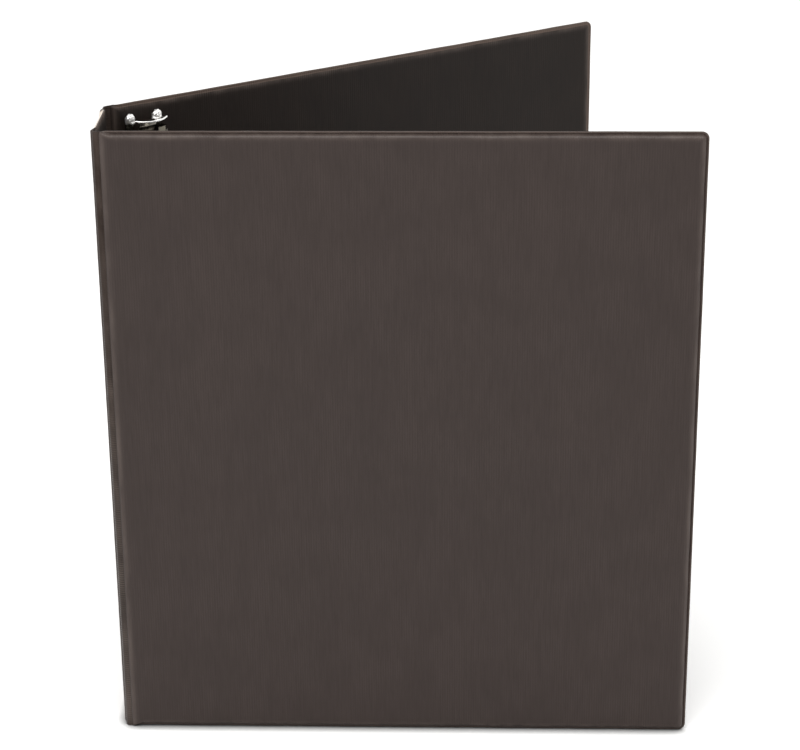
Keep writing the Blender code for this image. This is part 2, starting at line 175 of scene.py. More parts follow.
def drift(x, z, seed, wavelength):
    """A smooth irregular wave from -1 to 1 over a plane."""
    random = np.random.default_rng(seed)
    total = np.zeros_like(x)
    count = 7
    for _ in range(count):
        turn, shift = random.uniform(0, 2 * math.pi, 2)
        pitch = wavelength * random.uniform(0.7, 1.6)
        along = x * math.cos(turn) + z * math.sin(turn)
        total = total + np.sin(2 * math.pi * along / pitch + shift)
    return total / count * 1.6


# ---------------- vinyl skins of covers and spine

COARSE = 4
END_CROWDING = 0.6

# Stations of a skin's section, as inset from the panel's edge and depth below its outer face, in
# millimetres. The first list is for the free edges, where the sheets meet in a flat welded flange,
# and the second for the hinge side, where the sheet runs down into the hinge strip.
OUTER_FREE = [
    (6.4, 0.0), (5.0, 0.0), (4.2, 0.02), (3.5, 0.07), (2.9, 0.18), (2.4, 0.36), (2.0, 0.6),
    (1.7, 0.92), (1.48, 1.3), (1.34, 1.68), (1.22, 1.98), (1.08, 2.12), (0.94, 2.06),
    (0.74, 1.9), (0.48, 1.84), (0.2, 1.86), (0.05, 1.94), (0.0, 2.08), (0.0, 2.3), (0.06, 2.37),
    (1.0, 2.37), (2.4, 2.37), (2.55, 2.2), (2.55, 0.9), (2.7, 0.58), (6.4, 0.45),
]
OUTER_HINGE = [
    (6.4, 0.0), (5.0, 0.0), (3.6, 0.0), (2.7, 0.0), (2.1, 0.0), (1.7, 0.01), (1.35, 0.03),
    (1.05, 0.07), (0.8, 0.14), (0.6, 0.23), (0.44, 0.34), (0.3, 0.47), (0.19, 0.61),
    (0.11, 0.75), (0.06, 0.88), (0.03, 0.96), (0.01, 1.0), (0.0, 1.03), (0.0, 1.05), (0.03, 1.07),
    (1.0, 1.07), (2.2, 1.05), (2.5, 1.0), (2.6, 0.8), (2.75, 0.58), (6.4, 0.45),
]
INNER_FREE = [
    (6.4, 2.9), (5.0, 2.9), (4.0, 2.9), (3.2, 2.89), (2.6, 2.87), (2.1, 2.82), (1.7, 2.75),
    (1.4, 2.66), (1.15, 2.6), (0.95, 2.62), (0.75, 2.7), (0.5, 2.75), (0.2, 2.75), (0.05, 2.7),
    (0.0, 2.6), (0.0, 2.48), (0.06, 2.41), (1.4, 2.41), (2.6, 2.43), (6.4, 2.45),
]
INNER_HINGE = [
    (6.4, 2.9), (5.0, 2.9), (3.4, 2.9), (2.6, 2.87), (2.0, 2.8), (1.55, 2.7), (1.2, 2.58),
    (0.9, 2.43), (0.65, 2.28), (0.45, 2.13), (0.3, 2.0), (0.18, 1.91), (0.08, 1.85), (0.02, 1.82),
    (0.0, 1.81), (0.0, 1.79), (0.03, 1.78), (1.2, 1.8), (2.5, 1.95), (6.4, 2.45),
]
LATTICE_INSET = 6.4 * MM


def crowded(count):
    """Positions from 0 to 1 that lie closer together near both ends."""
    even = np.linspace(0, 1, count + 1)
    return even - END_CROWDING * np.sin(2 * math.pi * even) / (2 * math.pi)


def perimeter(nx, nz):
    """The border of an nx by nz lattice, once round from its first corner."""
    return (
        [(i, 0) for i in range(nx)]
        + [(nx, j) for j in range(nz)]
        + [(i, nz) for i in range(nx, 0, -1)]
        + [(0, j) for j in range(nz, 0, -1)]
    )


def rounded(x, z, low, high, radii):
    """Border points of a rectangle pulled onto its corner arcs. radii are for low x and high x."""
    for corner_x, inward, radius in ((low[0], 1, radii[0]), (high[0], -1, radii[1])):
        for corner_z, upward in ((low[1], 1), (high[1], -1)):
            across, along = (x - corner_x) * inward, (z - corner_z) * upward
            near = (across < radius) & (along < radius)
            to_x, to_z = across - radius, along - radius
            length = np.maximum(np.hypot(to_x, to_z), 1e-9)
            x = np.where(near, corner_x + inward * (radius + to_x / length * radius), x)
            z = np.where(near, corner_z + upward * (radius + to_z / length * radius), z)
    return x, z


class Skin:
    """The points and faces of one vinyl sheet, laid out on a lattice over its panel."""

    def __init__(self, x0, x1, hinge_low, hinge_high, seed):
        self.x0, self.x1 = x0, x1
        self.hinge = (hinge_low, hinge_high)
        self.seed = seed
        self.nx = COARSE * max(6, round((x1 - x0) / MM / 1.3 / COARSE))
        self.nz = COARSE * round(HEIGHT / MM / 1.3 / COARSE)
        self.tx, self.tz = crowded(self.nx), crowded(self.nz)
        border = np.array(perimeter(self.nx, self.nz))
        self.border = border
        self.bx, self.bz = self.tx[border[:, 0]], self.tz[border[:, 1]]
        self.points, self.faces, self.edge = [], [], []
        self.hinge_share = self.share_of_hinge()

    def share_of_hinge(self):
        """How far each border point is of the hinge side, from 0 to 1."""
        x = self.x0 + self.bx * (self.x1 - self.x0)
        reach = 3.5 * MM
        share = np.zeros(len(x))
        for has_hinge, away in zip(self.hinge, (x - self.x0, self.x1 - x)):
            if has_hinge:
                share = np.maximum(share, 1 - smoothstep(away / reach))
        return share

    def along_border(self):
        """The distance of each border point round the panel."""
        x = self.bx * (self.x1 - self.x0)
        z = self.bz * HEIGHT
        steps = np.hypot(np.diff(x, append=x[0]), np.diff(z, append=z[0]))
        return np.concatenate([[0.0], np.cumsum(steps)[:-1]])

    def add_ring(self, inset, depth, edge):
        """One loop of points. inset and depth are arrays, one value for each border point."""
        width, height = self.x1 - self.x0 - 2 * inset, HEIGHT - 2 * inset
        x = self.x0 + inset + self.bx * width
        z = inset + self.bz * height
        radii = [
            np.maximum((HINGE_RADIUS if hinge else FREE_RADIUS) - inset, 1e-6)
            for hinge in self.hinge
        ]
        low = (self.x0 + inset, inset)
        high = (self.x1 - inset, HEIGHT - inset)
        x, z = rounded(x, z, low, high, radii)
        first = len(self.points)
        self.points += list(zip(x, depth, z))
        self.edge += list(edge)
        return first

    def join_rings(self, lower, upper):
        count = len(self.border)
        for i in range(count):
            j = (i + 1) % count
            self.faces.append((lower + i, lower + j, upper + j, upper + i))

    def fill(self, first, depth_of):
        """The coarse lattice inside the last loop. Its outer cells take the loop's points between."""
        at = {tuple(node): first + i for i, node in enumerate(self.border.tolist())}
        inset = LATTICE_INSET
        width, height = self.x1 - self.x0 - 2 * inset, HEIGHT - 2 * inset
        for i in range(COARSE, self.nx, COARSE):
            for j in range(COARSE, self.nz, COARSE):
                x = self.x0 + inset + self.tx[i] * width
                z = inset + self.tz[j] * height
                at[(i, j)] = len(self.points)
                self.points.append((x, float(depth_of(np.array([x]), np.array([z]))[0]), z))
                self.edge.append(0.0)
        for i in range(0, self.nx, COARSE):
            for j in range(0, self.nz, COARSE):
                walk = perimeter(COARSE, COARSE)
                cell = [(i + a, j + b) for a, b in walk]
                self.faces.append(tuple(at[node] for node in cell if node in at))


def section(stations_free, stations_hinge, skin, face_depth, flat_reach):
    """Lays the loops of one closed sheet, then fills its face and its underside."""
    along = skin.along_border()
    share = skin.hinge_share
    pucker = wander(along, skin.seed, [2.7 * MM, 3.9 * MM, 6.1 * MM, 9.7 * MM])
    swell = wander(along, skin.seed + 1, [23 * MM, 37 * MM, 71 * MM])
    shown = next(i for i, station in enumerate(stations_free) if station[0] == 0.0)
    rings = []
    for index, (free, hinge) in enumerate(zip(stations_free, stations_hinge)):
        inset = (free[0] + (hinge[0] - free[0]) * share) * MM
        depth = (free[1] + (hinge[1] - free[1]) * share) * MM
        base = free[0]
        on_shoulder = math.exp(-(((base - 2.1) / 1.5) ** 2))
        on_flange = math.exp(-((base / 0.7) ** 2))
        if index <= shown:
            loose = 1 - 0.6 * share
            depth = depth + on_shoulder * loose * (0.075 * pucker + 0.07 * swell) * MM
            inset = inset + on_shoulder * loose * (0.05 * pucker + 0.12 * swell) * MM
            inset = inset + on_flange * (0.05 + 0.05 * swell) * (1 - share) * MM
        # Lighter colour on the rounded shoulder: partly wear, partly a painted highlight of the light
        # along it.
        shoulder_wear_and_sheen = math.exp(-(((base - 1.9) / 1.3) ** 2)) if index <= shown else 0.0
        flat = 1.0 if index <= shown and base < flat_reach else 0.0
        rings.append(skin.add_ring(inset, depth, shoulder_wear_and_sheen + 2 * flat * (1 - share)))
    for lower, upper in zip(rings, rings[1:]):
        skin.join_rings(lower, upper)
    skin.fill(rings[0], face_depth)
    flat_depth = stations_free[-1][1] * MM
    skin.fill(rings[-1], lambda x, z: np.full_like(x, flat_depth))


def make_skin(prefix, part, look, seed):
    """One closed vinyl sheet of a panel, standing for the CAD node of the same part."""
    place, side, body = PANELS[prefix]
    low, high = local_box(f"{prefix}_outer_vinyl", place)
    is_spine = prefix == "spine"
    skin = Skin(low.x, high.x, True, is_spine, seed)
    outer = part == "outer"
    stations = (OUTER_FREE, OUTER_HINGE) if outer else (INNER_FREE, INNER_HINGE)
    sag, wave = (0.02 * MM, 40 * MM) if is_spine else (0.05 * MM, 60 * MM)
    # How far in the weld-flange colour reaches; on the spine it covers the shoulder too, a painted
    # highlight along its top and bottom edges.
    flat_reach = (4.4 if is_spine else 0.7) if outer else 1.6
    top = stations[0][0][1] * MM
    toward = 1 if outer else -1

    def face_depth(x, z):
        from_edge = np.minimum(np.minimum(x - low.x, high.x - x), np.minimum(z, HEIGHT - z))
        fade = smoothstep((from_edge - LATTICE_INSET) / (18 * MM))
        return top + toward * fade * sag * (0.5 + 0.5 * drift(x, z, seed, wave))

    section(*stations, skin, face_depth, flat_reach)
    points = [(x, side * (HALF - depth), z) for x, depth, z in skin.points]
    name = f"{prefix}_{part}_skin"
    mesh = mesh_from(name, points, skin.faces, smooth_angle=60)
    mark_edge(mesh, skin.edge)
    made = add(name, mesh, place, look)
    if prefix == "back":
        combine(made, [rivet_hole(label, -4 * MM, 1 * MM) for label in ("top", "bottom")])
    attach(made, body)
    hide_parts(f"{prefix}_{part}_vinyl")


# ---------------- hinge strips

STRIP_DEPTH = 1.4 * MM
STRIP_THICKNESS = 0.7 * MM
STRIP_TUCK = 1.8 * MM
STRIP_FILLET = 1.7 * MM
RIB_PITCH = 1.15 * MM
RIB_DEPTH = 0.13 * MM
RIB_STEPS = 4
STRIP_SHINE = 0.9


def strip_line(turn, mirrored):
    """The strip's mid-line round the corner, as points and outward normals in the pivot's frame."""
    offset = HALF - STRIP_DEPTH
    half = math.tan(turn / 2)
    gap = local_box("front_outer_vinyl", FRONT)[0].x
    reach = gap + STRIP_TUCK + offset * half
    corner = Vector((-offset, offset * half))
    back, onward = Vector((0.0, -1.0)), Vector((math.sin(turn), math.cos(turn)))
    bend = STRIP_FILLET * half
    centre = corner + back * bend + Vector((STRIP_FILLET, 0))
    steps, straight = 10, 7
    line = []
    for i in range(straight):
        line.append((corner + back * (reach + (bend - reach) * i / straight), Vector((-1.0, 0.0))))
    for i in range(steps + 1):
        angle = turn * i / steps
        outward = Vector((-math.cos(angle), math.sin(angle)))
        line.append((centre + outward * STRIP_FILLET, outward))
    last = Vector((-math.cos(turn), math.sin(turn)))
    for i in range(1, straight + 1):
        line.append((corner + onward * (bend + (reach - bend) * i / straight), last))
    if mirrored:
        line = [(Vector((p.x, -p.y)), Vector((n.x, -n.y))) for p, n in line]
    return line


def make_strip(name, node, place, turn, mirrored, look, seed):
    """A welded hinge strip: fine ribs across it, and a shallow crease along its fold."""
    line = strip_line(turn, mirrored)
    margin = 0.15 * MM
    rows = round((HEIGHT - 2 * margin) / RIB_PITCH * RIB_STEPS)
    heights = np.linspace(margin, HEIGHT - margin, rows + 1)
    rib = 0.5 - 0.5 * np.cos(2 * math.pi * np.arange(rows + 1) / RIB_STEPS)
    count = len(line)
    across = np.linspace(-1, 1, count)
    on_rib = smoothstep((0.86 - np.abs(across)) / 0.1) * (0.35 + 0.65 * smoothstep(np.abs(across) / 0.3))
    slack = wander(heights, seed, [47 * MM, 83 * MM, 130 * MM])
    points = []
    for side in (1, -1):
        for i, (point, normal) in enumerate(line):
            push = side * STRIP_THICKNESS / 2 - side * RIB_DEPTH * on_rib[i] * rib
            push = push + 0.08 * MM * slack * smoothstep(np.array(1.2 - abs(across[i]) * 1.6))
            for height, away in zip(heights, push):
                at = point + normal * away
                points.append((at.x, at.y, height))
    faces = []
    rows += 1
    loop = list(range(count)) + list(range(2 * count - 1, count - 1, -1))
    for a, b in zip(loop, loop[1:] + loop[:1]):
        for j in range(rows - 1):
            faces.append((a * rows + j, a * rows + j + 1, b * rows + j + 1, b * rows + j))
    for j in (0, rows - 1):
        for i in range(count - 1):
            low = count + i
            faces.append((i * rows + j, (i + 1) * rows + j, (low + 1) * rows + j, low * rows + j))
    mesh = mesh_from(name, points, faces, smooth_angle=70)
    mark_edge(mesh, [STRIP_SHINE] * len(points))
    made = add(name, mesh, place, look)
    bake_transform(made)
    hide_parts(node)


# ---------------- pockets

POCKET_RADIUS = 3.0 * MM


def make_pocket(prefix, look, seed):
    """A thin sheet welded along three sides, whose open top edge stands a little off the cover."""
    place, side, body = PANELS[prefix]
    low, high = local_box(f"{prefix}_pocket", place)
    width, height = high.x - low.x, high.z - low.z
    thick = (high.y - low.y) * 0.9
    nx, nz = round(width / MM / 1.6), round(height / MM / 1.6)
    tx, tz = np.linspace(0, 1, nx + 1), np.linspace(0, 1, nz + 1)
    grid_x, grid_z = np.meshgrid(tx, tz, indexing="ij")
    x, z = low.x + grid_x * width, low.z + grid_z * height
    for corner_x, inward in ((low.x, 1), (high.x, -1)):
        for corner_z, upward in ((low.z, 1), (high.z, -1)):
            across, along = (x - corner_x) * inward, (z - corner_z) * upward
            near = (across < POCKET_RADIUS) & (along < POCKET_RADIUS)
            to_x, to_z = across - POCKET_RADIUS, along - POCKET_RADIUS
            longest = np.maximum(np.maximum(abs(to_x), abs(to_z)), 1e-9)
            scale = longest / np.maximum(np.hypot(to_x, to_z), 1e-9)
            x = np.where(near, corner_x + inward * (POCKET_RADIUS + to_x * scale), x)
            z = np.where(near, corner_z + upward * (POCKET_RADIUS + to_z * scale), z)
    from_side = np.minimum(x - low.x, high.x - x)
    from_foot = z - low.z
    from_weld = np.minimum(from_side, from_foot)
    free = smoothstep((from_weld - 2 * MM) / (40 * MM))
    bow = 0.9 * MM * free * smoothstep((z - low.z) / height)
    bow = bow + 0.12 * MM * free * (0.5 + 0.5 * drift(x, z, seed, 70 * MM))
    groove = np.exp(-(((from_weld - 1.5 * MM) / (0.55 * MM)) ** 2))
    hem = np.exp(-(((high.z - z - 1.6 * MM) / (0.5 * MM)) ** 2))
    base = HALF + 0.22 * MM
    top = base + thick + bow - 0.16 * MM * groove - 0.1 * MM * hem
    shape = (nx + 1, nz + 1)
    index = np.arange(shape[0] * shape[1]).reshape(shape)
    count = index.size
    face_y, back_y = -side * top, -side * (base + bow)
    points = list(zip(x.ravel(), face_y.ravel(), z.ravel()))
    points += list(zip(x.ravel(), back_y.ravel(), z.ravel()))
    faces = []
    for i in range(nx):
        for j in range(nz):
            cell = (index[i, j], index[i + 1, j], index[i + 1, j + 1], index[i, j + 1])
            faces.append(tuple(int(c) for c in cell))
            faces.append(tuple(int(c) + count for c in reversed(cell)))
    border = [int(index[node]) for node in perimeter(nx, nz)]
    for a, b in zip(border, border[1:] + border[:1]):
        faces.append((b, a, a + count, b + count))
    name = f"{prefix}_pocket_sheet"
    mesh = mesh_from(name, points, faces, smooth_angle=50)
    mark_edge(mesh, [*np.exp(-((from_weld / (2 * MM)) ** 2)).ravel(), *np.zeros(count)])
    made = add(name, mesh, place, look)
    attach(made, body)
    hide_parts(f"{prefix}_pocket")


# ---------------- ring mechanism

FOOT_U = 6.0 * MM
FOOT_KNEE_V = 7.2 * MM
CURVE_KNEE_V = 9.8 * MM
POST_KNEE_V = 9.2 * MM
CURVE_RADII = (2.6 * MM, 3.0 * MM, 14.2 * MM)
POST_RADII = (2.6 * MM, 3.0 * MM, 4.6 * MM)
SHEET = 0.8 * MM
RIVET_HOLE = 2.6 * MM
SLOT_HALF = 5.4 * MM
SLOT_FLOOR_V = 3.6 * MM


def rounded_path(points, radii, steps=12):
    """A polyline through points whose inner corners are rounded to radii."""
    points = [Vector(p) for p in points]
    path = [points[0]]
    for before, corner, after, radius in zip(points, points[1:], points[2:], radii):
        into, out = (before - corner).normalized(), (after - corner).normalized()
        half = into.angle(out) / 2
        reach = radius / math.tan(half)
        centre = corner + (into + out).normalized() * radius / math.sin(half)
        start = (corner + into * reach - centre).normalized()
        end = (corner + out * reach - centre).normalized()
        for i in range(steps + 1):
            path.append(centre + start.slerp(end, i / steps) * radius)
    path.append(points[-1])
    return path


def swept(name, path, radius, start_cap, end_cap, height, look):
    """Round wire along a path in the mechanism's section. A cap is (distance past the end, radius)."""
    first, last = (path[0] - path[1]).normalized(), (path[-1] - path[-2]).normalized()
    stations = [(path[0] + first * away, -first, size) for away, size in reversed(start_cap)]
    for i, point in enumerate(path):
        before, after = path[max(i - 1, 0)], path[min(i + 1, len(path) - 1)]
        if 0 < i < len(path) - 1:
            stations.append((point, (after - before).normalized(), radius))
    stations += [(path[-1] + last * away, last, size) for away, size in end_cap]
    sides = 28
    points = []
    for point, along, size in stations:
        across = Vector((along.y, -along.x))
        for k in range(sides):
            turn = 2 * math.pi * k / sides
            at = point + across * size * math.cos(turn)
            points.append(uvz(at.x, at.y, height + size * math.sin(turn)))
    mesh = mesh_from(name, points, tube(len(stations), sides), smooth_angle=50)
    return add(name, mesh, BACK, look)


def make_rings(look):
    """Six half rings. The curved half ends in a peg, which the post half's socket takes."""
    for label in ("top", "middle", "bottom"):
        low, high = local_box(f"curved_ring_half_{label}", BACK)
        post_low, post_high = local_box(f"post_ring_half_{label}", BACK)
        wire = (high.z - low.z) / 2
        height = (high.z + low.z) / 2
        curve_u = low.x - MECHANISM_X + wire
        post_u = post_high.x - MECHANISM_X - wire
        tip, post_tip = high.x - MECHANISM_X, post_low.x - MECHANISM_X
        top, foot = -HALF - low.y - wire, -HALF - high.y
        rounded_end = [(-0.4 * MM, wire), (-0.2 * MM, wire * 0.97), (-0.06 * MM, wire * 0.89)]
        rounded_end += [(0.0, wire * 0.78)]
        peg = [(0.0, 0.6 * MM), (0.75 * MM, 0.58 * MM), (0.95 * MM, 0.44 * MM), (1.02 * MM, 0.2 * MM)]
        socket = [(0.0, 0.86 * MM), (-0.1 * MM, 0.76 * MM), (-1.1 * MM, 0.74 * MM)]
        socket += [(-1.12 * MM, 0.3 * MM)]
        shank = [(0.0, wire * 0.9), (0.1 * MM, wire * 0.8)]
        curve = [(-FOOT_U, foot), (-FOOT_U, FOOT_KNEE_V), (curve_u, CURVE_KNEE_V), (curve_u, top)]
        post = [(FOOT_U, foot), (FOOT_U, 6.9 * MM), (post_u, POST_KNEE_V), (post_u, top)]
        halves = (
            ("curved", curve + [(tip, top)], CURVE_RADII, peg, "spine_side_rings"),
            ("post", post + [(post_tip, top)], POST_RADII, socket, "page_side_rings"),
        )
        for shape, corners, radii, tip_end, body in halves:
            path = rounded_path(corners, radii)
            name = f"{shape}_ring_{label}"
            ring = swept(name, path, wire, shank, rounded_end + tip_end, height, look)
            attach(ring, body)
            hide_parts(f"{shape}_ring_half_{label}")


def drawn_out(name, outline, z0, z1):
    """A section in u and v drawn out along the mechanism."""
    points = [uvz(u, v, z) for z in (z0, z1) for u, v in outline]
    return mesh_from(name, points, tube(2, len(outline)))


def tool_from(mesh):
    """A hidden body that a Boolean uses, and that is removed once it is applied."""
    made = bpy.data.objects.new(mesh.name, mesh)
    bpy.context.scene.collection.objects.link(made)
    made.matrix_world = BACK
    made.hide_render = True
    return made


def combine(obj, tools, operation="DIFFERENCE"):
    """Applies Booleans of tools to obj and removes them."""
    for tool in tools:
        modifier = obj.modifiers.new("combine", "BOOLEAN")
        modifier.operation = operation
        modifier.solver = "EXACT"
        modifier.object = tool
    bpy.context.view_layer.update()
    graph = bpy.context.evaluated_depsgraph_get()
    finished = bpy.data.meshes.new_from_object(obj.evaluated_get(graph))
    obj.modifiers.clear()
    look = obj.data.materials[0]
    obj.data = finished
    obj.data.materials.clear()
    obj.data.materials.append(look)
    obj.data.polygons.foreach_set("material_index", [0] * len(obj.data.polygons))
    for tool in tools:
        bpy.data.objects.remove(tool)


def soften(obj, width):
    """Rounds the sharp edges of a solid."""
    modifier = obj.modifiers.new("rounded_edges", "BEVEL")
    modifier.width = width
    modifier.segments = 2
    modifier.limit_method = "ANGLE"
    modifier.angle_limit = math.radians(35)
    obj.data.shade_smooth()
    obj.data.set_sharp_from_angle(angle=math.radians(50))


def column(u, z, radius, v0, v1, stretch=0.0, sides=32):
    """A cylinder along v, drawn out along u by stretch each way, as a Boolean tool."""
    points = []
    for v in (v0, v1):
        for k in range(sides):
            turn = 2 * math.pi * k / sides
            across = radius * math.cos(turn)
            across += math.copysign(stretch, across) if stretch else 0.0
            points.append(uvz(u + across, v, z + radius * math.sin(turn)))
    return tool_from(mesh_from("column", points, tube(2, sides)))


def rivet_hole(label, v0, v1):
    low, high = local_box(f"rivet_{label}", BACK)
    return column(0, (low.z + high.z) / 2, RIVET_HOLE, v0, v1)


def block(u0, u1, v0, v1, z0, z1):
    outline = [(u0, v0), (u1, v0), (u1, v1), (u0, v1)]
    return tool_from(drawn_out("block", outline, min(z0, z1), max(z0, z1)))


def thick_line(line, thickness):
    """The outline of a sheet of that thickness along a line."""
    left, right = [], []
    for i, point in enumerate(line):
        before, after = line[max(i - 1, 0)], line[min(i + 1, len(line) - 1)]
        along = (after - before).normalized()
        out = Vector((-along.y, along.x)) * thickness / 2
        left.append(point + out)
        right.append(point - out)
    return left + list(reversed(right))


def housing_section(half, foot, crown):
    """The channel's folded sheet: a curled foot, a short wall, a rounded shoulder and a crown."""
    wall = half - SHEET / 2
    crown_top = crown - SHEET / 2
    shoulder = crown_top - 2.1 * MM
    rise = crown_top - shoulder
    radius = (wall**2 + rise**2) / (2 * rise)
    spread = math.asin(wall / radius)
    steps = 16
    crown_line = [
        (radius * math.sin(spread * (2 * i / steps - 1)),
         crown_top - radius + radius * math.cos(spread * (2 * i / steps - 1)))
        for i in range(steps + 1)
    ]
    base = foot + SHEET / 2
    corners = [(-wall + 1.5 * MM, base), (-wall, base)] + crown_line + [(wall, base)]
    corners += [(wall - 1.5 * MM, base)]
    radii = [0.6 * MM, 1.3 * MM] + [6 * MM] * (steps - 1) + [1.3 * MM, 0.6 * MM]
    return thick_line(rounded_path(corners, radii, steps=5), SHEET)


def lug_tool(centre_u, half_u, centre_z, half_z, low_v, high_v, seed):
    """A rounded lump of pressed metal with shallow dents."""
    points = []
    rings, sides = 22, 40
    for i in range(1, rings):
        lean = math.pi * i / rings
        rise = math.copysign(abs(math.cos(lean)) ** 0.8, math.cos(lean))
        for k in range(sides):
            turn = 2 * math.pi * k / sides
            dent = 1 - 0.17 * (0.5 + 0.5 * math.sin(5 * turn + seed) * math.sin(6.5 * lean + seed))
            reach = math.sin(lean) ** 0.8 * dent
            u = centre_u + half_u * reach * math.cos(turn)
            z = centre_z + half_z * reach * math.sin(turn)
            points.append(uvz(u, (high_v + low_v) / 2 + (high_v - low_v) / 2 * rise * dent, z))
    return tool_from(mesh_from("lug", points, tube(rings - 1, sides)))


def stem_tool(side, sign, half, foot, end):
    """The flat tongue of sheet between a lug and the end of the channel."""
    inner, outer = sorted((side * 4.9 * MM, side * (half - 1.9 * MM)))
    return block(inner, outer, foot, foot + 1.1 * MM, end - sign * 2.0 * MM, end - sign * 8.2 * MM)


def make_housing(look):
    low, high = local_box("ring_housing", BACK)
    half = (high.x - low.x) / 2
    foot, crown = -HALF - high.y, -HALF - low.y
    outline = housing_section(half, foot, crown)
    shell = drawn_out("ring_housing_shell", outline, low.z, high.z)
    housing = add("ring_housing_shell", shell, BACK, look)
    cuts, lugs = [], []
    above = crown + 1 * MM
    for sign, end in ((1, high.z), (-1, low.z)):
        past = end + sign * 1 * MM
        slot_end = end - sign * 13.0 * MM
        cuts.append(block(-SLOT_HALF, SLOT_HALF, SLOT_FLOOR_V, above, past, slot_end))
        slot_end += sign * 0.1 * MM
        cuts.append(column(0, slot_end, SLOT_HALF, SLOT_FLOOR_V, above, sides=48))
        cuts.append(block(-half - MM, half + MM, 0, above, past, end - sign * 7.4 * MM))
        cuts.append(rivet_hole("top" if sign > 0 else "bottom", 4 * MM, above))
        for side in (-1, 1):
            ball_z, lump_z = end - sign * 2.35 * MM, end - sign * 4.3 * MM
            ball_u, lump_u = (6.9 * MM, 5.9 * MM) if side > 0 else (-6.4 * MM, -5.6 * MM)
            lugs.append(lug_tool(ball_u, 2.25 * MM, ball_z, 2.35 * MM, foot, 3.2 * MM, side))
            lugs.append(lug_tool(lump_u, 1.7 * MM, lump_z, 1.5 * MM, foot, 3.1 * MM, 2 + side))
            lugs.append(stem_tool(side, sign, half, foot, end))
    for label in ("top", "middle", "bottom"):
        ring_low, ring_high = local_box(f"post_ring_half_{label}", BACK)
        for side in (-1, 1):
            z = (ring_low.z + ring_high.z) / 2
            cuts.append(column(side * 6.4 * MM, z, 1.95 * MM, 2.4 * MM, above, 1.0 * MM))
    combine(housing, cuts)
    combine(housing, lugs, "UNION")
    soften(housing, 0.14 * MM)
    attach(housing, "back_cover")
    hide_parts("ring_housing")


def turned(name, profile, centre, axis, look, sides=48):
    """A solid of revolution. profile is (distance along axis, radius), and both ends are closed."""
    axis = Vector(axis).normalized()
    side = axis.orthogonal().normalized()
    other = axis.cross(side)
    points = []
    for away, radius in profile:
        for k in range(sides):
            turn = 2 * math.pi * k / sides
            out = side * math.cos(turn) + other * math.sin(turn)
            points.append(Vector(centre) + axis * away + out * radius)
    mesh = mesh_from(name, points, tube(len(profile), sides), smooth_angle=35)
    return add(name, mesh, BACK, look)


def dome(height, radius, steps=8):
    """Stations of a shallow dome that closes at a small flat."""
    return [
        (height * math.sin(math.pi / 2 * i / steps),
         radius * max(math.cos(math.pi / 2 * i / steps), 0.02))
        for i in range(steps + 1)
    ]


def make_rivets(look):
    """A low domed head on the cover's outside, a shank, and a clinched tubular end on the crown."""
    for label in ("top", "bottom"):
        low, high = local_box(f"rivet_{label}", BACK)
        z = (low.z + high.z) / 2
        outside, inside = -HALF - high.y, -HALF - low.y
        head = (high.z - low.z) / 2
        shank, clinch = 2.3 * MM, 3.7 * MM
        under = outside + 1.35 * MM
        crown = inside - 1.0 * MM
        outer = [(outside + (under - outside) * 0.75 - away, r) for away, r in dome(1.0 * MM, head)]
        profile = list(reversed(outer)) + [(under, head), (under, shank), (crown, shank)]
        profile += [(crown, clinch), (crown + 0.35 * MM, clinch + 0.12 * MM)]
        profile += [(crown + 0.75 * MM, clinch - 0.35 * MM), (crown + 0.95 * MM, clinch - 1.1 * MM)]
        profile += [(crown + 0.7 * MM, clinch - 1.7 * MM), (crown - 0.6 * MM, clinch - 2.1 * MM)]
        profile += [(crown - 0.7 * MM, 0.05 * MM)]
        centre = uvz(0, 0, z)
        made = turned(f"rivet_{label}_turned", profile, centre, (0, -1, 0), look)
        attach(made, "back_cover")
        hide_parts(f"rivet_{label}")


def make_pins(look):
    """Lever pins with small peened ends outside the housing's walls."""
    for label, sign in (("top", 1), ("bottom", -1)):
        low, high = local_box(f"lever_pin_{label}", BACK)
        radius = (high.z - low.z) / 2
        reach = (high.x - low.x) / 2 + 0.1 * MM
        head = [(reach + 0.1 * MM + away, r) for away, r in dome(0.45 * MM, 1.35 * MM)]
        profile = [(reach, radius), (reach + 0.05 * MM, 1.35 * MM)] + head
        mirrored = [(-away, r) for away, r in reversed(profile)]
        centre = uvz(0, LEVER_V, MIDDLE + sign * LEVER_REACH)
        made = turned(f"lever_pin_{label}_turned", mirrored + profile, centre, (1, 0, 0), look, 32)
        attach(made, "back_cover")
        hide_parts(f"lever_pin_{label}")


LEVER_NECK = 4.2 * MM
LEVER_TONGUE = 2.7 * MM
TAB_HALF = 8.0 * MM
TAB_DEPTH = 5.0 * MM


def lever_line():
    """The lever's side view about its pivot, as s outwards and w up: tongue, pin wrap, neck, tab."""
    wrap = 1.36 * MM
    turns = [math.radians(a) for a in (-125, -100, -75, -50, -25)]
    around = [(wrap * math.cos(t), wrap * math.sin(t)) for t in turns]
    corners = [(-6.0 * MM, -2.4 * MM), (-2.4 * MM, -2.35 * MM)] + around
    corners += [(5.0 * MM, 2.9 * MM), (7.9 * MM, 4.3 * MM), (8.3 * MM, 9.5 * MM)]
    radii = [1.0 * MM] + [0.1 * MM] * len(around) + [2.0 * MM, 1.3 * MM]
    return rounded_path(corners, radii, steps=5)


def tab_half_width(from_rim):
    """The tab's half width at a distance back from its front rim: a lens with pointed ends."""
    front, back = TAB_DEPTH * 0.45, TAB_DEPTH * 0.42
    if from_rim < front:
        return TAB_HALF * math.sqrt(max(from_rim, 0.0) / front)
    behind = TAB_DEPTH - from_rim
    if behind > back:
        return TAB_HALF
    return max(TAB_HALF * math.sqrt(max(behind, 0.0) / back), LEVER_NECK)


